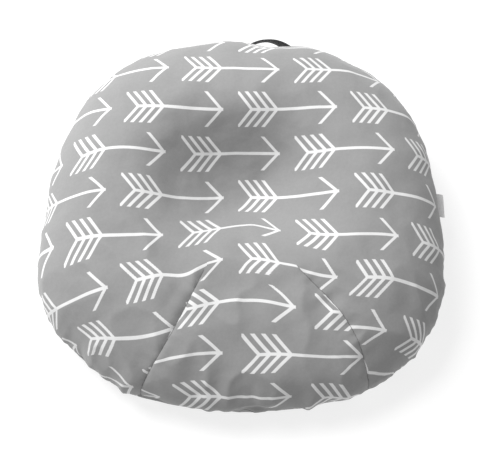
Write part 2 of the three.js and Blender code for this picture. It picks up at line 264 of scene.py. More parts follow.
# A strip between two rows of points, made solid inwards.
def ribbon(name, edge, other, thickness):
    count = len(edge)
    faces = [(i, i + 1, count + i + 1, count + i) for i in range(count - 1)]
    obj = objectFrom(name, np.vstack([edge, other]), faces)
    addModifier(obj, "SOLIDIFY", thickness=thickness, offset=-1)
    applyAll(obj)
    shadeSmooth(obj, 40)
    return obj


# the darts, as directions from the dish's middle that drift a little along their length
dartEnd = 0.318
darts = [
    {"name": "left", "from": 0.138, "start": 247.6, "end": 243.4, "bow": 0.6, "side": -1, "shift": 0.18},
    {"name": "right", "from": 0.146, "start": 299.6, "end": 302.6, "bow": 3.4, "side": 1, "shift": 0.22},
]


def dartDirection(dart, reach):
    share = np.clip((reach - dart["from"]) / (dartEnd - dart["from"]), 0, 1.1)
    degrees = dart["start"] + (dart["end"] - dart["start"]) * share + dart["bow"] * np.sin(np.pi * share)
    return np.radians(degrees)


# How far along and how far to the side of a dart's line, in metres.
def fromDart(dart, points):
    direction, reach = polar(points)
    off = direction - dartDirection(dart, reach)
    return reach * np.cos(off) - dart["from"], reach * np.sin(off)


# the slipcover, puffed out by cloth simulation
print("slipcover: form and cloth")
coverFrom = {"under": 0.0008, "voxel": 0.006, "cap": 0.005, "pressure": 4.0, "frames": 20}
cover = closedForm("slipcover", lambda z: coverFrom["under"] * easeIn(0.0, 0.03, z), 100, 160)
addModifier(cover, "REMESH", mode="VOXEL", voxel_size=coverFrom["voxel"])
applyAll(cover)


# Height over the perimeter seam, and how much a point belongs to the outer wall.
def fromSeam(points):
    direction, reach = polar(points)
    wall = easeIn(0.72, 0.9, reach / aroundRim(direction, rimReach))
    return points[:, 2] - seamAt(points[:, 1]), wall


def holdAndSlack(points):
    over, wall = fromSeam(points)
    direction, reach = polar(points)
    seam = np.exp(-((over / 0.004) ** 2)) * wall
    slack = np.exp(-((over / 0.03) ** 2)) * wall
    for dart in darts:
        along, aside = fromDart(dart, points)
        sewn = easeIn(0, 0.02, along) * (over > 0)
        seam = np.maximum(seam, 0.5 * sewn * np.exp(-((aside / 0.004) ** 2)))
        slack = np.maximum(slack, 0.5 * sewn * np.exp(-((aside / 0.02) ** 2)))
    dish = 0.5 * (1 - easeIn(0.06, 0.15, reach)) * (over > 0)
    floor = (points[:, 2] < 0.003).astype(float)
    return np.maximum.reduce([seam, dish, floor]), slack


def addGroup(obj, name, weights):
    group = obj.vertex_groups.new(name=name)
    for level in range(1, 21):
        members = np.nonzero(np.round(weights * 20) == level)[0]
        if len(members):
            group.add([int(i) for i in members], level / 20, "REPLACE")


def puffUp(obj):
    rest = coordinates(obj)
    hold, slack = holdAndSlack(rest)
    addGroup(obj, "hold", hold)
    addGroup(obj, "slack", slack)
    cloth = addModifier(obj, "CLOTH")
    settings = cloth.settings
    settings.quality = 5
    settings.mass = 0.2
    settings.tension_stiffness = settings.compression_stiffness = 15
    settings.shear_stiffness = 6
    settings.bending_stiffness = 0.3
    settings.use_pressure = True
    settings.uniform_pressure_force = coverFrom["pressure"]
    settings.vertex_group_mass = "hold"
    settings.vertex_group_shrink = "slack"
    settings.shrink_min = 0
    settings.shrink_max = -0.09
    settings.effector_weights.gravity = 0
    cloth.collision_settings.use_collision = False
    scene = bpy.context.scene
    cloth.point_cache.frame_start, cloth.point_cache.frame_end = 1, coverFrom["frames"]
    for step in range(1, coverFrom["frames"] + 1):
        scene.frame_set(step)
    applyAll(obj)
    scene.frame_set(1)
    moved = coordinates(obj) - rest
    far = np.linalg.norm(moved, axis=1, keepdims=True)
    moved *= np.minimum(1, coverFrom["cap"] / np.maximum(far, 1e-9))
    points = rest + moved
    points[:, 2] = np.maximum(points[:, 2], 0)
    moveTo(obj, points)
    obj.vertex_groups.clear()
    print(f"  the cloth moved {far.mean() * 1000:.2f} mm on average, {far.max() * 1000:.2f} mm at most")


puffUp(cover)
addModifier(cover, "SUBSURF", levels=1)
applyAll(cover)


# Splits the faces that a plane crosses. near picks them, warp straightens a curved seam for the cut.
def cutAlong(obj, plane, normal, near=None, warp=None):
    bm = bmesh.new()
    bm.from_mesh(obj.data)
    home = bm.verts.layers.float_vector.new("home")
    points = np.array([v.co for v in bm.verts])
    bent = points if warp is None else warp(points)
    for vertex, new in zip(bm.verts, bent):
        vertex[home] = vertex.co
        vertex.co = new
    faces = bm.faces[:] if near is None else [f for f in bm.faces if near(f.calc_center_median())]
    parts = {e for f in faces for e in f.edges} | {v for f in faces for v in f.verts}
    bmesh.ops.bisect_plane(bm, geom=list(parts) + faces, plane_co=plane, plane_no=normal, dist=1e-5)
    for vertex in bm.verts:
        vertex.co = vertex[home]
    bm.verts.layers.float_vector.remove(home)
    bm.to_mesh(obj.data)
    bm.free()
    obj.data.update()


print("slipcover: seams")
seamMiddle = Vector((0, 0, float(seamAt(0.0))))
seamNormal = Vector((0, -seamSlope, 1)).normalized()
besideSeam = 0.0013  # lines on both sides keep the dark line at the stitching even
for offset in (-besideSeam, 0, besideSeam):
    cutAlong(cover, seamMiddle + seamNormal * offset, seamNormal)

for dart in darts:
    straight = math.radians(dart["start"])

    def warp(points, dart=dart, straight=straight):
        direction, reach = polar(points)
        turned = direction - (dartDirection(dart, reach) - straight) * (reach > dart["from"])
        near = np.abs(direction - straight) < math.radians(20)
        bent = points.copy()
        bent[:, 0] = np.where(near, reach * np.cos(turned), points[:, 0])
        bent[:, 1] = np.where(near, reach * np.sin(turned) + form["dishY"], points[:, 1])
        return bent

    def near(place, dart=dart, straight=straight):
        reach = math.hypot(place.x, place.y - form["dishY"])
        if reach < dart["from"] or place.z < seamAt(place.y):
            return False
        off = math.atan2(place.y - form["dishY"], place.x) - straight
        return abs(math.remainder(off, 2 * math.pi)) < math.radians(6)

    aside = Vector((-math.sin(straight), math.cos(straight), 0))
    for offset in (-besideSeam, 0, besideSeam):
        cutAlong(cover, Vector((0, form["dishY"], 0)) + aside * offset, aside, near, warp)


# Marks the faces over the perimeter seam and the points on a seam, while the form is still plain; the seam
# points later get painted shade in the knit.
def markSeams(obj):
    points = coordinates(obj)
    over, wall = fromSeam(points)
    sewn = (np.abs(over) < 5e-5) & (wall > 0.5)
    for dart in darts:
        along, aside = fromDart(dart, points)
        sewn |= (np.abs(aside) < 2e-4) & (along > 0.004) & (over > 0)
    mark = obj.data.attributes.new("sewn", "FLOAT", "POINT")
    mark.data.foreach_set("value", sewn.astype(np.float32))
    upper = [int(f.center.z > seamAt(f.center.y)) for f in obj.data.polygons]
    side = obj.data.attributes.new("upper", "INT", "FACE")
    side.data.foreach_set("value", upper)


markSeams(cover)


# Noise round the rim that meets itself, with the given pitch in metres.
def roundNoise(pitch, seed, sharp):
    circle = rimLength[-1] / 2 / math.pi / pitch
    values = [noise.noise(Vector((math.cos(a) * circle, math.sin(a) * circle, seed))) for a in turns]
    values = np.array(values) / 0.5
    return 1 - 2 * np.abs(values) if sharp else values


# puckers along the perimeter seam, from fine to coarse, with how far they run above and below it
gathers = [
    {"pitch": 0.017, "deep": 0.0016, "above": 0.022, "below": 0.012, "sharp": True},
    {"pitch": 0.034, "deep": 0.0026, "above": 0.038, "below": 0.02, "sharp": False},
    {"pitch": 0.080, "deep": 0.0018, "above": 0.060, "below": 0.03, "sharp": False},
]
# single folds, each a soft furrow along a line
folds = [
    {"at": (0.016, -0.279, 0.046), "along": (1, 0, 0.15), "half": 0.024, "wide": 0.008, "deep": 0.0075},
    {"at": (0.014, -0.270, 0.066), "along": (0.3, -0.3, -1), "half": 0.026, "wide": 0.007, "deep": 0.0030},
    {"at": (0.075, -0.262, 0.074), "along": (1, 0.1, -0.5), "half": 0.035, "wide": 0.009, "deep": 0.0020},
    {"at": (-0.060, -0.262, 0.072), "along": (1, -0.1, 0.6), "half": 0.030, "wide": 0.009, "deep": 0.0024},
    {"at": (-0.120, -0.115, 0.128), "along": (0.7, 0.7, 0), "half": 0.035, "wide": 0.014, "deep": -0.0026},
    {"at": (-0.045, -0.170, 0.128), "along": (1, 0.15, 0), "half": 0.030, "wide": 0.014, "deep": 0.0034},
    {"at": (0.070, -0.195, 0.112), "along": (0.5, -0.85, -0.2), "half": 0.040, "wide": 0.013, "deep": 0.0034},
    {"at": (0.112, -0.185, 0.124), "along": (0.6, -0.8, -0.3), "half": 0.040, "wide": 0.012, "deep": 0.0026},
    {"at": (0.145, -0.140, 0.136), "along": (0.9, -0.4, 0), "half": 0.022, "wide": 0.006, "deep": -0.0018},
    {"at": (-0.100, -0.150, 0.134), "along": (0.5, 0.85, 0), "half": 0.030, "wide": 0.010, "deep": 0.0018},
    {"at": (0.030, -0.130, 0.133), "along": (1, 0.1, 0), "half": 0.045, "wide": 0.016, "deep": 0.0022},
]
# where the filling stands out or falls in, each over a round patch
swells = [
    {"at": (-0.290, -0.085, 0.060), "wide": 0.080, "out": 0.0085},
    {"at": (-0.205, -0.215, 0.055), "wide": 0.065, "out": -0.0110},
    {"at": (0.210, -0.220, 0.050), "wide": 0.050, "out": -0.0030},
    {"at": (-0.020, 0.262, 0.135), "wide": 0.045, "out": 0.0040},
    {"at": (0.045, 0.265, 0.130), "wide": 0.034, "out": -0.0045},
    {"at": (0.000, -0.105, 0.132), "wide": 0.060, "out": 0.0045},
    {"at": (0.000, -0.276, 0.045), "wide": 0.080, "out": 0.0050},
    {"at": (0.000, -0.218, 0.105), "wide": 0.065, "out": -0.0060},
    {"at": (0.120, -0.195, 0.105), "wide": 0.055, "out": -0.0040},
]
tuck = {"in": 0.0075, "under": 0.012, "wide": 0.009}  # of the base below the seam, in front
seamGroove = {"deep": 0.0032, "wide": 0.005, "softDeep": 0.0006, "softWide": 0.02}
dartGroove = {"deep": 0.0024, "wide": 0.0030, "softDeep": 0.0006, "softWide": 0.016}
dartRipple = {"high": 0.0014, "pitch": 0.012, "wide": 0.014, "step": 0.004, "steps": 80}
leftBulge = {"direction": 188, "wide": 22, "out": 0.0075, "under": 0.022, "high": 0.016, "seamIn": 0.0015}


def bell(value, wide):
    return np.exp(-((value / wide) ** 2))


# How far out the slack cloth and the filling under it go together.
def largeShape(points):
    over, wall = fromSeam(points)
    direction, _ = polar(points)
    front = easeIn(0.25, 0.75, -np.sin(direction))
    out = -tuck["in"] * wall * front * bell(over + tuck["under"], tuck["wide"])
    for fold in folds:
        line = np.array(Vector(fold["along"]).normalized())
        away = points - np.array(fold["at"])
        run = away @ line
        side = np.linalg.norm(away - np.outer(run, line), axis=1)
        out -= fold["deep"] * bell(run, fold["half"]) * bell(side, fold["wide"])
    for swell in swells:
        far = np.linalg.norm(points - np.array(swell["at"]), axis=1)
        out += swell["out"] * bell(far, swell["wide"])
    return out


# How far out each point goes for the seams, gathers and folds.
def seamShape(points):
    over, wall = fromSeam(points)
    direction, reach = polar(points)
    out = largeShape(points)
    out -= wall * seamGroove["deep"] * np.exp(-np.abs(over) / seamGroove["wide"])
    out -= wall * seamGroove["softDeep"] * bell(over, seamGroove["softWide"])
    # on the left the base panel swells out past the seam
    left = wall * bell(np.degrees(direction) - leftBulge["direction"], leftBulge["wide"])
    out += left * leftBulge["out"] * bell(over + leftBulge["under"], leftBulge["high"])
    out -= left * leftBulge["seamIn"] * bell(over, 0.007)
    for number, gather in enumerate(gathers):
        ridge = aroundRim(direction, roundNoise(gather["pitch"], number * 7.3, gather["sharp"]))
        reachOut = np.where(over > 0, gather["above"], gather["below"])
        out += gather["deep"] * ridge * wall * np.exp(-np.abs(over) / reachOut)
    for number, dart in enumerate(darts):
        along, aside = fromDart(dart, points)
        sewn = easeIn(-0.006, 0.03, along) * (over > 0) * (np.cos(direction - dartDirection(dart, reach)) > 0)
        out -= sewn * dartGroove["deep"] * np.exp(-np.abs(aside) / dartGroove["wide"])
        out -= sewn * dartGroove["softDeep"] * bell(aside, dartGroove["softWide"])
        places = np.arange(dartRipple["steps"]) * dartRipple["step"]
        ripple = [noise.noise(Vector((p / dartRipple["pitch"], number * 5.1, 0.4))) * 2 for p in places]
        ripple = np.interp(along, places, ripple) * np.exp(-np.abs(aside) / dartRipple["wide"])
        out += sewn * dartRipple["high"] * ripple
    return out * easeIn(0.002, 0.012, points[:, 2])


lumps = [(11, 0.0024), (26, 0.0018), (60, 0.0004)]  # how many to the metre, about, and how high
creaseHigh = 0.0038


# Lumps of the filling all over, and slanting creases where the front's slack cloth lies.
def softUnevenness(points):
    out = np.zeros(len(points))
    for scale, high in lumps:
        out += high * np.array([noise.noise(Vector(p) * scale) for p in points])
    creases = [noise.noise(Vector((x * 20 + y * 15, y * 13 - x * 9, z * 12))) for x, y, z in points]
    slack = 0.25 + 0.75 * easeIn(0.02, 0.12, -points[:, 1])
    out += creaseHigh * slack * (0.5 - 2 * np.abs(np.array(creases)))
    return out * easeIn(0.004, 0.03, points[:, 2])


points = coordinates(cover)
outwards = normals(cover)
# the print follows the plain form, so it is laid from where each point was before it moved
laidFrom = cover.data.attributes.new("laidFrom", "FLOAT_VECTOR", "POINT")
laidFrom.data.foreach_set("vector", points.ravel())
moveTo(cover, points + outwards * (seamShape(points) + softUnevenness(points))[:, None])


# the print's coordinates, as the flat cloth lay before it was sewn
across, down = 0.004, 0.002  # steps of the table
tableX = np.arange(-0.3, 0.3001, across)
tableY = np.arange(-0.29, 0.2901, down)


# The flat cloth's length along every section with x fixed, measured from the rear of the dish.
def laidTable():
    angle, t = np.meshgrid(turns, np.linspace(0.002, 2, 500))
    p = formPoint(angle, t).reshape(-1, 3)
    column = np.round((p[:, 0] - tableX[0]) / across).astype(int)
    row = np.round((p[:, 1] - tableY[0]) / down).astype(int)
    place = column * len(tableY) + row
    size = len(tableX) * len(tableY)
    count = np.bincount(place, minlength=size)[:size].reshape(len(tableX), -1)
    total = np.bincount(place, weights=p[:, 2], minlength=size)[:size].reshape(len(tableX), -1)
    length = np.zeros_like(total)
    start = int(np.argmin(np.abs(tableY - printSize["rowAt"])))
    for i in range(len(tableX)):
        known = count[i] > 0
        if known.sum() < 2:
            length[i] = tableY - tableY[start]
            continue
        height = np.interp(tableY, tableY[known], total[i][known] / count[i][known])
        steps = np.hypot(np.diff(height), down)
        length[i] = np.concatenate([[0], np.cumsum(steps)])
        length[i] -= length[i][start]
    return length


def lookUp(table, column, row):
    column = np.clip(column, 0, table.shape[0] - 1.001)
    row = np.clip(row, 0, table.shape[1] - 1.001)
    i, j = column.astype(int), row.astype(int)
    a, b = column - i, row - j
    near = table[i, j] * (1 - b) + table[i, j + 1] * b
    far = table[i + 1, j] * (1 - b) + table[i + 1, j + 1] * b
    return near * (1 - a) + far * a


print("slipcover: print")
printSize = {"period": 0.164, "row": 0.067, "rowAt": 0.132, "overCrest": 1.05}
laid = laidTable()
overTurn = np.linspace(0, 1, 65)
overTable = np.zeros((361, 65))
for i, a in enumerate(np.linspace(0, 2 * np.pi, 361)):
    line = formPoint(np.full(65, a), 1 + np.minimum(overTurn, 0.9999))
    overTable[i, 1:] = np.cumsum(np.linalg.norm(np.diff(line, axis=0), axis=1))


def flatLength(x, y):
    held = np.clip(x, -0.21, 0.21)  # further out the rows run on straight
    return lookUp(laid, (held - tableX[0]) / across, (y - tableY[0]) / down) + 2 * printSize["row"]


# places where the cloth was pulled up or down a little as it was sewn
drifts = [
    {"at": (-0.265, -0.142), "wide": 0.060, "up": 0.020},
    {"at": (-0.250, 0.044), "wide": 0.050, "up": 0.012},
    {"at": (0.009, -0.030), "wide": 0.026, "up": -0.010},
    {"at": (-0.155, -0.240), "wide": 0.040, "up": 0.008},
    {"at": (0.000, -0.150), "wide": 0.060, "up": -0.008},
    {"at": (0.010, -0.235), "wide": 0.050, "up": 0.006},
    {"at": (0.165, -0.222), "wide": 0.045, "up": -0.014},
    {"at": (0.130, -0.160), "wide": 0.035, "up": -0.008},
    {"at": (0.060, 0.262), "wide": 0.070, "up": 0.014},
    {"at": (-0.079, -0.120), "wide": 0.022, "up": 0.006},
    {"at": (0.090, -0.120), "wide": 0.045, "up": -0.007},
    {"at": (-0.115, -0.115), "wide": 0.050, "up": -0.011},
    {"at": (-0.190, -0.020), "wide": 0.090, "up": -0.008},
    {"at": (0.130, 0.000), "wide": 0.070, "up": -0.007},
    {"at": (0.185, -0.115), "wide": 0.060, "up": -0.013},
]


# Where on the flat cloth each point lies. centres say on which side of a dart its face is.
def printPlace(points, centres):
    direction, reach = polar(points)
    rim = aroundRim(direction, rimReach)
    angle = rimAngle(direction) % (2 * np.pi)
    top = crestShareAt(angle)
    crest = crestAt(angle)
    seam = seamAt(outlineAt(angle)[1])
    bend = form["fullness"] / 2
    out = np.clip((reach / rim - top) / (1 - top), 0, 1) ** bend
    up = np.clip((points[:, 2] - seam) / (crest - seam), 0, 1) ** bend
    turn = np.arctan2(out, up) / (np.pi / 2)
    overLength = lookUp(overTable, np.degrees(angle), turn * 64)
    extra = np.where(reach / rim < top, 0, overLength) * printSize["overCrest"]
    held = np.minimum(reach, top * rim)
    x, y = held * np.cos(direction), held * np.sin(direction) + form["dishY"]
    u = x + np.cos(direction) * extra
    v = flatLength(x, y) + np.sin(direction) * extra
    # beyond the darts the cloth lies shifted to them, and between them it is stretched a little sideways
    centreDirection, centreReach = polar(centres)
    left, right = darts
    leftSide = centreDirection < dartDirection(left, centreReach)
    rightSide = centreDirection > dartDirection(right, centreReach)
    for dart, side in ((left, leftSide), (right, rightSide)):
        below = np.clip(-0.095 - centres[:, 1], 0, 1) * side
        u = u + dart["side"] * dart["shift"] * below * (1 - 0.5 * easeIn(0.12, 0.26, np.abs(centres[:, 0])))
    front = ~leftSide & ~rightSide & (centres[:, 1] < -0.08)
    v = np.where(front, v, flatLength(points[:, 0], points[:, 1]))
    for drift in drifts:
        far = np.hypot(points[:, 0] - drift["at"][0], points[:, 1] - drift["at"][1])
        v = v + drift["up"] * np.exp(-((far / drift["wide"]) ** 2))
    pull = easeIn(0.092, 0.145, -centres[:, 1]) * 0.19 * front
    u = u + (-0.030 - u) * pull
    return u, v


# Writes the print's coordinates to the mesh, in metres.
def layPrint(obj, under):
    mesh = obj.data
    layer = mesh.uv_layers.new(name="print")
    points = np.empty(len(mesh.vertices) * 3)
    mesh.attributes["laidFrom"].data.foreach_get("vector", points)
    points = points.reshape(-1, 3)
    loops = np.empty(len(mesh.loops), int)
    mesh.loops.foreach_get("vertex_index", loops)
    counts = np.empty(len(mesh.polygons), int)
    mesh.polygons.foreach_get("loop_total", counts)
    corners = points[loops]
    starts = np.concatenate([[0], np.cumsum(counts)[:-1]])
    centres = np.repeat(np.add.reduceat(corners, starts) / counts[:, None], counts, axis=0)
    if under:
        direction, reach = polar(corners)
        reach = reach + 0.8 * corners[:, 2]
        u, v = reach * np.cos(direction), reach * np.sin(direction)
    else:
        u, v = printPlace(corners, centres)
    layer.data.foreach_set("uv", np.stack([u, v], -1).ravel())


# the cover comes apart: a copy keeps the faces above or below the seam that keep picks
def keepPart(source, name, upper, keep=lambda centre: True):
    obj = source.copy()
    obj.data = source.data.copy()
    obj.name = name
    bpy.context.scene.collection.objects.link(obj)
    bm = bmesh.new()
    bm.from_mesh(obj.data)
    side = bm.faces.layers.int["upper"]
    drop = [f for f in bm.faces if f[side] != upper or not keep(f.calc_center_median())]
    bmesh.ops.delete(bm, geom=drop, context="FACES")
    bm.to_mesh(obj.data)
    bm.free()
    return obj


print("slipcover: panels")
zipper = {"y": 0.118, "half": 0.216, "window": 0.030, "thick": 0.0009}
for place, direction in (
    ((0, zipper["y"], 0), (0, 1, 0)),
    ((0, zipper["y"] - zipper["window"] / 2, 0), (0, 1, 0)),
    ((0, zipper["y"] + zipper["window"] / 2, 0), (0, 1, 0)),
    ((zipper["half"], 0, 0), (1, 0, 0)),
    ((-zipper["half"], 0, 0), (1, 0, 0)),
):
    cutAlong(cover, place, direction, lambda c: c.z < seamAt(c.y))


def inWindow(c):
    return c.z < 0.01 and abs(c.x) < zipper["half"] and abs(c.y - zipper["y"]) < zipper["window"] / 2


panels = {
    "cover_top_panel": keepPart(cover, "slipcover_top", 1),
    "cover_base_front_panel": keepPart(
        cover, "slipcover_base_front", 0, lambda c: c.y < zipper["y"] and not inWindow(c)
    ),
    "cover_base_rear_panel": keepPart(
        cover, "slipcover_base_rear", 0, lambda c: c.y > zipper["y"] and not inWindow(c)
    ),
}
bpy.data.objects.remove(cover)
for node, panel in panels.items():
    layPrint(panel, node != "cover_top_panel")
    addModifier(panel, "SOLIDIFY", thickness=zipper["thick"], offset=-1)
    applyAll(panel)
    shadeSmooth(panel)
    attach(panel, "pillow")
    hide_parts(node)


# the allowances, the insert and its filling, under the cover
print("insert and allowances")


# Two rows of points on the form, on both sides of the perimeter seam, which is at t = 2.
def stripOnForm(half, angle, depth):
    return [insetPoint(angle, np.full_like(angle, t), depth) for t in (2 + half, 2 - half)]


# Moves an inner piece in where the cover goes in, and a little more beside the gathers.
def followCover(obj):
    points = coordinates(obj)
    over, wall = fromSeam(points)
    outwards = points - (0, form["dishY"], form["seamFoot"])
    outwards /= np.linalg.norm(outwards, axis=1, keepdims=True)
    inwards = 1.2 * np.minimum(largeShape(points), 0) - 0.003 * wall * np.exp(-np.abs(over) / 0.03)
    moveTo(obj, points + outwards * (inwards * easeIn(0.002, 0.02, points[:, 2]))[:, None])


def rideAs(obj, body, *nodes):
    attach(obj, body)
    if nodes:
        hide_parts(*nodes)
    return obj


# how deep each piece lies under the cover
depths = {
    "seamTape": 0.0105, "insertTape": 0.0150, "dart": 0.0085, "insert": 0.0120, "ring": 0.0170,
    "baffle": 0.0175, "centre": 0.0180,
}
tapeThick = 0.0006
whole = np.linspace(0, 2 * np.pi, 181)
gap = math.pi * 0.35, math.pi * 0.65
seamTape = ribbon("cover_seam_allowance", *stripOnForm(0.06, whole, depths["seamTape"]), tapeThick)
rideAs(seamTape, "pillow", "perimeter_seam_tape")
around = np.linspace(gap[1] + 0.01, gap[0] - 0.01 + 2 * math.pi, 150)
insertTape = ribbon("insert_seam_allowance", *stripOnForm(0.05, around, depths["insertTape"]), tapeThick)
rideAs(insertTape, "pillow", "insert_seam_tape")
sewnUp = stripOnForm(0.05, np.linspace(*gap, 40), depths["insertTape"])
closing = ribbon("insert_closing_seam", *sewnUp, tapeThick)
rideAs(closing, "pillow", "insert_closing_stitch")

for dart in darts:
    reach = np.linspace(dart["from"] + 0.01, 0.30, 60)
    direction = dartDirection(dart, reach)
    angle = rimAngle(direction)
    rim, top = aroundRim(direction, rimReach), crestShareAt(angle)
    share = np.clip((reach / rim - top) / (1 - top), 0.001, 0.999)
    t = 1 + np.arcsin(share ** (form["fullness"] / 2)) / (np.pi / 2)
    edge, other = (insetPoint(angle + aside / reach, t, depths["dart"]) for aside in (-0.004, 0.004))
    strip = ribbon(f"dart_allowance_{dart['name']}", edge, other, tapeThick)
    rideAs(strip, "pillow", f"dart_seam_{dart['name']}")

insert = closedForm("insert_ticking", depths["insert"], 60, 120)
rideAs(insert, "pillow", "insert_top_shell", "insert_bottom_shell")
shadeSmooth(insert)
filling = closedForm("ring_filling", depths["ring"], 50, 100)
rideAs(filling, "pillow", "ring_fill")
shadeSmooth(filling)
wall = np.linspace(0, 2 * np.pi, 121)
wallTop = insetPoint(wall, np.full(121, 0.6), depths["baffle"])
wallLow = wallTop.copy()
wallLow[:, 2] = 0.0178
baffle = ribbon("baffle_wall", wallTop, wallLow, 0.001)
rideAs(baffle, "pillow", "inner_baffle")
centre = closedForm("centre_filling", depths["centre"], 40, 80)
points = coordinates(centre)
centreFill = {"share": 0.3, "low": 0.019, "high": 0.060}
points[:, :2] = (points[:, :2] - (0, form["dishY"])) * centreFill["share"] + (0, form["dishY"])
points[:, 2] = np.clip(points[:, 2], centreFill["low"], centreFill["high"])
moveTo(centre, points)
rideAs(centre, "pillow", "centre_fill")

allowances = [bpy.data.objects[f"dart_allowance_{dart['name']}"] for dart in darts]
for inner in (seamTape, insertTape, closing, insert, filling, *allowances):
    followCover(inner)


# handle
print("handle")
handle = {
    "middle": 0.038, "span": 0.146, "end": 0.014, "out": 0.029, "height": 0.070,
    "wide": 0.025, "thick": 0.0018, "gap": 0.0006, "roll": 27, "rise": 0.009, "bulge": 1.6,
}


# How far back the cover's wall is, at a place across and a height under the seam.
def wallBehind(x, height):
    angle = np.linspace(0.15 * np.pi, 0.85 * np.pi, 600)
    seam = seamAt(outlineAt(angle)[1])
    sine = np.maximum(1 - height / seam, 0) ** (form["fullness"] / 2)
    line = formPoint(angle, 2 + np.arcsin(np.minimum(sine, 1)) * 2 / np.pi)
    order = np.argsort(line[:, 0])
    return np.interp(x, line[order, 0], line[order, 1])


# The webbing as a swept flat section with rounded edges. It rolls a little where it stands out.
def strapHalf(name, start, end, steps):
    u = np.linspace(start, end, steps)
    bow = np.maximum(np.cos(u * np.pi / handle["span"]), 0) ** handle["bulge"]
    bow[np.abs(u) >= handle["span"] / 2] = 0
    x = handle["middle"] + u
    top = handle["height"] + handle["wide"] / 2
    y = wallBehind(x, top) + handle["gap"] + handle["thick"] / 2 + bow * handle["out"]
    z = handle["height"] + handle["rise"] * bow
    roll = np.radians(handle["roll"]) * np.sqrt(bow) * (1 - 0.8 * easeIn(-0.005, 0.036, u))
    line = np.stack([x, y, np.broadcast_to(z, x.shape)], -1)
    run = np.gradient(line, axis=0)
    run /= np.linalg.norm(run, axis=1, keepdims=True)
    face = np.cross(run, (0, 0, 1))
    face /= np.linalg.norm(face, axis=1, keepdims=True)
    face[face[:, 1] < 0] *= -1
    half, flat = handle["wide"] / 2, handle["thick"] / 2
    edge = [(-half, 0), (-half + flat * 0.3, -flat * 0.7), (-half + flat, -flat)]
    profile = edge + [(a * half, -flat) for a in (-0.6, -0.2, 0.2, 0.6)]
    profile += [(-a, b) for a, b in reversed(edge)]
    profile += [(-a, -b) for a, b in edge[1:]]
    profile += [(-a * half, flat) for a in (-0.6, -0.2, 0.2, 0.6)]
    profile += [(a, -b) for a, b in reversed(edge[1:])]
    rings = []
    for i in range(steps):
        upward = np.array([0, 0, 1]) * np.cos(roll[i]) - face[i] * np.sin(roll[i])
        outward = face[i] * np.cos(roll[i]) + np.array([0, 0, 1]) * np.sin(roll[i])
        rings += [line[i] + upward * a + outward * b for a, b in profile]
    count = len(profile)
    faces = []
    for i in range(steps - 1):
        for j in range(count):
            a, b = i * count + j, i * count + (j + 1) % count
            faces.append((a, b, b + count, a + count))
    faces.append(tuple(range(count))[::-1])
    faces.append(tuple((steps - 1) * count + j for j in range(count)))
    obj = objectFrom(name, rings, faces)
    faceOutwards(obj)
    layer = obj.data.uv_layers.new(name="weave")
    lengths = np.concatenate([[0], np.cumsum(np.linalg.norm(np.diff(line, axis=0), axis=1))])
    loops = np.empty(len(obj.data.loops), int)
    obj.data.loops.foreach_get("vertex_index", loops)
    width = np.array([p[0] for p in profile])
    layer.data.foreach_set("uv", np.stack([lengths[loops // count], width[loops % count]], -1).ravel())
    shadeSmooth(obj, 50)
    return obj


reachOut = handle["span"] / 2 + handle["end"]
strapLeft = strapHalf("handle_webbing_left", -reachOut, 0.0, 60)
strapRight = strapHalf("handle_webbing_right", 0.0, reachOut, 60)
moving, strapY = 0.036, wallBehind(handle["middle"], handle["height"])
for strap, side in ((strapLeft, -1), (strapRight, 1)):
    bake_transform(strap)
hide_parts("handle_strap", "handle_end_left")
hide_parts("handle_strap", "handle_end_right")


# the folded side label
print("label")
label = {"y": 0.026, "long": 0.038, "reach": 0.0115, "thick": 0.0004, "open": 0.0011}


# A satin tape folded over its long edge, both ends in the seam; it droops and curls a little.
def foldedLabel():
    sideX, sideY = outlineAt(np.linspace(-1, 1, 200))
    edge = float(np.interp(label["y"], sideY, sideX))
    height = float(seamAt(label["y"]))
    root, tip, half = edge - 0.004, edge + label["reach"], label["open"] / 2
    bend = np.linspace(-np.pi / 2, np.pi / 2, 9)
    line = [(x, -half) for x in np.linspace(root, tip - half, 8)]
    line += [(tip - half + half * math.cos(b), half * math.sin(b)) for b in bend[1:-1]]
    line += [(x, half) for x in np.linspace(tip - half, root, 8)]
    ys = np.linspace(label["y"] - label["long"] / 2, label["y"] + label["long"] / 2, 25)
    points, faces = [], []
    for y in ys:
        along = (y - label["y"]) / label["long"]
        for x, z in line:
            out = max(x - edge, 0) / label["reach"]
            droop = -0.0030 * out * out + 0.0012 * out * math.sin(along * 5 + 0.6)
            points.append((x, y + 0.0006 * out * math.sin(along * 9), height + z + droop))
    count = len(line)
    for i in range(len(ys) - 1):
        for j in range(count - 1):
            a = i * count + j
            faces.append((a, a + 1, a + count + 1, a + count))
    obj = objectFrom("folded_side_label", points, faces)
    faceOutwards(obj)
    addModifier(obj, "SOLIDIFY", thickness=label["thick"], offset=-1)
    applyAll(obj)
    shadeSmooth(obj, 50)
    return obj


sideLabel = foldedLabel()
rideAs(sideLabel, "side_tag", "side_label")


# An sRGB hex code as linear RGBA.
def linear(code):
    parts = [int(code[i : i + 2], 16) / 255 for i in (0, 2, 4)]
    return (*[p / 12.92 if p <= 0.04045 else ((p + 0.055) / 1.055) ** 2.4 for p in parts], 1)


def addNode(tree, kind, inputs=None, **settings):
    node = tree.nodes.new("ShaderNode" + kind)
    for key, value in settings.items():
        setattr(node, key, value)
    for key, value in (inputs or {}).items():
        if isinstance(value, bpy.types.NodeSocket):
            tree.links.new(value, node.inputs[key])
        else:
            node.inputs[key].default_value = value
    return node


def calc(tree, operation, *values):
    inputs = dict(enumerate(values))
    return addNode(tree, "Math", inputs, operation=operation).outputs[0]


def newMaterial(name, **surface):
    material = bpy.data.materials.new(name)
    material.use_nodes = True
    tree = material.node_tree
    shader = tree.nodes["Principled BSDF"]
    for key, value in surface.items():
        shader.inputs[key].default_value = value
    return material, tree, shader


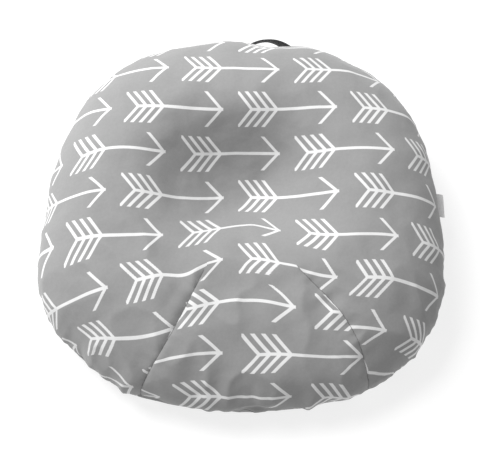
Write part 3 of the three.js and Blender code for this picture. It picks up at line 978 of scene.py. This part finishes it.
def addBump(tree, shader, height, distance, strength=1.0, before=None):
    inputs = {"Height": height, "Distance": distance, "Strength": strength}
    if before is not None:
        inputs["Normal"] = before
    bump = addNode(tree, "Bump", inputs)
    tree.links.new(bump.outputs["Normal"], shader.inputs["Normal"])
    return bump.outputs["Normal"]


def mixColours(tree, factor, a, b):
    return addNode(tree, "Mix", {"Factor": factor, "A": a, "B": b}, data_type="RGBA").outputs["Result"]


# Noise whose features are about the given size in metres.
def noiseAt(tree, place, size, detail=2.0, roughness=0.5):
    inputs = {"Vector": place, "Scale": 1 / size, "Detail": detail, "Roughness": roughness}
    return addNode(tree, "TexNoise", inputs).outputs["Fac"]


# 1 within half of a line and 0 outside, over a soft edge.
def band(tree, distance, half, soft):
    rest = calc(tree, "SUBTRACT", half, calc(tree, "ABSOLUTE", distance))
    scaled = calc(tree, "DIVIDE", rest, soft)
    return addNode(tree, "Clamp", {"Value": calc(tree, "ADD", scaled, 0.5)}).outputs[0]


arrow = {
    "shift": 0.05, "tip": 0.87, "thick": 0.0136, "soft": 0.004,
    "headBack": 0.867, "headWide": 0.158, "headThick": 0.0158,
    "feathers": 0.122, "featherStep": 0.0743, "featherBack": 0.774, "featherWide": 0.160,
    "featherThick": 0.0158,
}


# Rows of arrows, every second row moved by half a repeat. Lengths are in repeats.
def arrowPrint(tree, place):
    parts = addNode(tree, "SeparateXYZ", {"Vector": place})
    u = calc(tree, "DIVIDE", parts.outputs["X"], printSize["period"])
    v = calc(tree, "DIVIDE", parts.outputs["Y"], printSize["row"])
    row = calc(tree, "FLOOR", calc(tree, "ADD", v, 0.5))
    odd = calc(tree, "ABSOLUTE", calc(tree, "MODULO", row, 2.0))
    moved = calc(tree, "ADD", calc(tree, "MULTIPLY_ADD", odd, 0.5, arrow["shift"] + 40), u)
    a = calc(tree, "FRACT", moved)
    off = calc(tree, "MULTIPLY", calc(tree, "SUBTRACT", v, row), printSize["row"] / printSize["period"])
    b = calc(tree, "ABSOLUTE", off)
    soft = arrow["soft"]
    half = (arrow["tip"] - arrow["feathers"]) / 2
    fromMiddle = calc(tree, "SUBTRACT", a, arrow["feathers"] + half)
    shaft = calc(tree, "MULTIPLY", band(tree, b, arrow["thick"], soft), band(tree, fromMiddle, half, soft))
    headLine = calc(tree, "MULTIPLY_ADD", b, arrow["headBack"], a)
    fromHead = calc(tree, "SUBTRACT", headLine, arrow["tip"] - arrow["headThick"])
    head = band(tree, fromHead, arrow["headThick"], soft)
    head = calc(tree, "MULTIPLY", head, band(tree, b, arrow["headWide"], soft))
    line = calc(tree, "MULTIPLY_ADD", b, arrow["featherBack"], a)
    steps = calc(tree, "DIVIDE", calc(tree, "SUBTRACT", line, arrow["feathers"]), arrow["featherStep"])
    nearest = addNode(tree, "Clamp", {"Value": calc(tree, "ROUND", steps), "Min": 0.0, "Max": 3.0}).outputs[0]
    gap = calc(tree, "MULTIPLY", calc(tree, "SUBTRACT", steps, nearest), arrow["featherStep"])
    feather = band(tree, gap, arrow["featherThick"], soft)
    feather = calc(tree, "MULTIPLY", feather, band(tree, b, arrow["featherWide"], soft))
    return calc(tree, "MAXIMUM", shaft, calc(tree, "MAXIMUM", head, feather))


# brushed polyester knit: matt, with a faint sheen from its nap, so the grey shifts softly over the curves
knit, tree, shader = newMaterial("brushed microfibre knit, arrow print", Roughness=0.9)
shader.inputs["Sheen Weight"].default_value = 0.25
shader.inputs["Sheen Roughness"].default_value = 0.6
shader.inputs["Specular IOR Level"].default_value = 0.15
place = addNode(tree, "UVMap", uv_map="print").outputs["UV"]
solid = addNode(tree, "TexCoord").outputs["Object"]
printed = arrowPrint(tree, place)
mottle = noiseAt(tree, solid, 0.004, 4.0, 0.6)
worn = calc(tree, "MULTIPLY", printed, calc(tree, "MULTIPLY_ADD", mottle, -0.12, 1.02))
grey = mixColours(tree, mottle, linear("828282"), linear("8c8c8c"))
white = mixColours(tree, worn, grey, linear("d6d6d6"))
# the cloth turns in at the stitching, so a fine line there hardly catches any light; that shade is painted
# into the colour as a dark line along the seams
sewn = addNode(tree, "Attribute", attribute_name="sewn").outputs["Fac"]
paintedSeamShade = calc(tree, "MULTIPLY", calc(tree, "POWER", sewn, 2.5), 0.85)
shade = mixColours(tree, paintedSeamShade, white, linear("303030"))
tree.links.new(shade, shader.inputs["Base Color"])
nap = addBump(tree, shader, noiseAt(tree, solid, 0.0012, 3.0, 0.6), 0.00025, 0.6)
addBump(tree, shader, noiseAt(tree, solid, 0.010, 2.0), 0.0008, 0.5, nap)

# grey cut edge and overlock thread of the seam allowances
allowance, tree, shader = newMaterial("overlocked seam allowance", Roughness=0.95)
solid = addNode(tree, "TexCoord").outputs["Object"]
tint = mixColours(tree, noiseAt(tree, solid, 0.002), linear("646464"), linear("7c7c7c"))
tree.links.new(tint, shader.inputs["Base Color"])

# spun-bonded white ticking, a little creased
ticking, tree, shader = newMaterial("spun-bonded ticking", Roughness=0.9)
solid = addNode(tree, "TexCoord").outputs["Object"]
tint = mixColours(tree, noiseAt(tree, solid, 0.006, 3.0), linear("ebeae4"), linear("f8f7f3"))
tree.links.new(tint, shader.inputs["Base Color"])
addBump(tree, shader, noiseAt(tree, solid, 0.008, 3.0), 0.001)

# loose polyester fibre, soft and white
fibre, tree, shader = newMaterial("polyester fibre", Roughness=1.0)
shader.inputs["Base Color"].default_value = linear("fbfbfb")
solid = addNode(tree, "TexCoord").outputs["Object"]
addBump(tree, shader, noiseAt(tree, solid, 0.012, 5.0, 0.7), 0.004)


def wave(tree, place, axis, pitch):
    parts = addNode(tree, "SeparateXYZ", {"Vector": place})
    return calc(tree, "SINE", calc(tree, "MULTIPLY", parts.outputs[axis], 2 * math.pi / pitch))


def weaveHeight(tree, place, pitchAlong, pitchAcross):
    return calc(tree, "MULTIPLY", wave(tree, place, "X", pitchAlong), wave(tree, place, "Y", pitchAcross))


# charcoal webbing with a fine plain weave that catches the light in rows; the raised threads are painted
# lighter as a painted highlight
webbing, tree, shader = newMaterial("polypropylene webbing", Roughness=0.75)
place = addNode(tree, "UVMap", uv_map="weave").outputs["UV"]
height = weaveHeight(tree, place, 0.0022, 0.0018)
raisedThreadHighlight = calc(tree, "MULTIPLY_ADD", height, 0.5, 0.5)
tint = mixColours(tree, raisedThreadHighlight, linear("2e2e30"), linear("4a4a4d"))
tree.links.new(tint, shader.inputs["Base Color"])
addBump(tree, shader, height, 0.0004)

# white satin ribbon: smooth, with a soft gloss along its threads
satin, tree, shader = newMaterial("white satin ribbon", Roughness=0.42)
solid = addNode(tree, "TexCoord").outputs["Object"]
tint = mixColours(tree, noiseAt(tree, solid, 0.0015, 2.0), linear("dcdcdc"), linear("f4f4f4"))
tree.links.new(tint, shader.inputs["Base Color"])
addBump(tree, shader, weaveHeight(tree, solid, 0.0006, 0.0006), 0.00005)

# dark bonded thread in close rows
thread, tree, shader = newMaterial("bonded sewing thread", Roughness=0.7)
shader.inputs["Base Color"].default_value = linear("242426")
solid = addNode(tree, "TexCoord").outputs["Object"]
addBump(tree, shader, wave(tree, solid, "Z", 0.0009), 0.0003)

# woven zipper tape
tapeCloth, tree, shader = newMaterial("woven polyester zipper tape", Roughness=0.88)
solid = addNode(tree, "TexCoord").outputs["Object"]
shader.inputs["Base Color"].default_value = linear("858585")
addBump(tree, shader, weaveHeight(tree, solid, 0.0012, 0.0012), 0.0002)

# nylon coil: each turn shows as a small rounded rib
coil, tree, shader = newMaterial("nylon zipper coil", Roughness=0.4)
solid = addNode(tree, "TexCoord").outputs["Object"]
shader.inputs["Base Color"].default_value = linear("7a7b7e")
addBump(tree, shader, wave(tree, solid, "X", 0.0015), 0.0005)

# die-cast zinc with a satin nickel finish, lightly brushed by use
zinc, tree, shader = newMaterial("nickel-plated zinc", Metallic=1.0)
solid = addNode(tree, "TexCoord").outputs["Object"]
shader.inputs["Base Color"].default_value = linear("b4b5b7")
rub = noiseAt(tree, solid, 0.002, 3.0)
tree.links.new(calc(tree, "MULTIPLY_ADD", rub, 0.2, 0.25), shader.inputs["Roughness"])


def paint(material, *objects):
    for obj in objects:
        obj.data.materials.clear()
        obj.data.materials.append(material)


cad = frame["nodes"]
paint(knit, *panels.values())
paint(webbing, strapLeft, strapRight)
paint(satin, sideLabel)
paint(allowance, seamTape, *allowances)
paint(ticking, insert, insertTape, baffle, closing)
paint(fibre, filling, centre)
finishes = {
    "cover": knit, "perimeter": allowance, "dart": allowance, "insert": ticking, "inner": ticking,
    "ring": fibre, "centre": fibre, "handle": webbing,
}
for name, node in cad.items():
    if name.endswith("label"):
        paint(satin, node)
    elif "tack" in name or "stitch" in name:
        paint(thread, node)
    elif "zipper_tape" in name:
        paint(tapeCloth, node)
    elif "zipper_coil" in name:
        paint(coil, node)
    elif name.startswith("zipper"):
        paint(zinc, node)
    else:
        paint(finishes[name.split("_")[0]], node)


# floor, light and camera
print("stage")
bpy.ops.mesh.primitive_plane_add(size=12, location=(0, 0, -0.0005))
floor = bpy.context.object
floor.name = "floor"
paper, tree, shader = newMaterial("white studio floor", Roughness=0.9)
shader.inputs["Base Color"].default_value = linear("969696")
shader.inputs["Emission Color"].default_value = linear("ffffff")
shader.inputs["Emission Strength"].default_value = 0.74
paint(paper, floor)

world = bpy.data.worlds.new("studio")
bpy.context.scene.world = world
world.use_nodes = True
world.node_tree.nodes["Background"].inputs["Color"].default_value = linear("ffffff")
world.node_tree.nodes["Background"].inputs["Strength"].default_value = 0.44
bpy.context.scene.view_settings.view_transform = "Standard"


def addLight(name, place, aim, size, power):
    data = bpy.data.lights.new(name, "AREA")
    data.size = size
    data.energy = power
    light = bpy.data.objects.new(name, data)
    bpy.context.scene.collection.objects.link(light)
    light.location = place
    light.rotation_euler = (Vector(aim) - Vector(place)).to_track_quat("-Z", "Y").to_euler()
    return light


addLight("key", (-1.05, 0.82, 1.85), (0, 0, 0.08), 1.4, 76)

view = {"elevation": 65, "distance": 1.5, "aim": (0, 0, 0.070), "lens": 74.7, "shift": (0.0027, -0.0204)}
lift = math.radians(view["elevation"])
camera = bpy.data.objects.new("camera", bpy.data.cameras.new("camera"))
bpy.context.scene.collection.objects.link(camera)
camera.location = Vector(view["aim"]) + view["distance"] * Vector((0, -math.cos(lift), math.sin(lift)))
camera.rotation_euler = (math.pi / 2 - lift, 0, 0)
camera.data.lens = view["lens"]
camera.data.sensor_width = 36
camera.data.shift_x, camera.data.shift_y = view["shift"]
bpy.context.scene.camera = camera
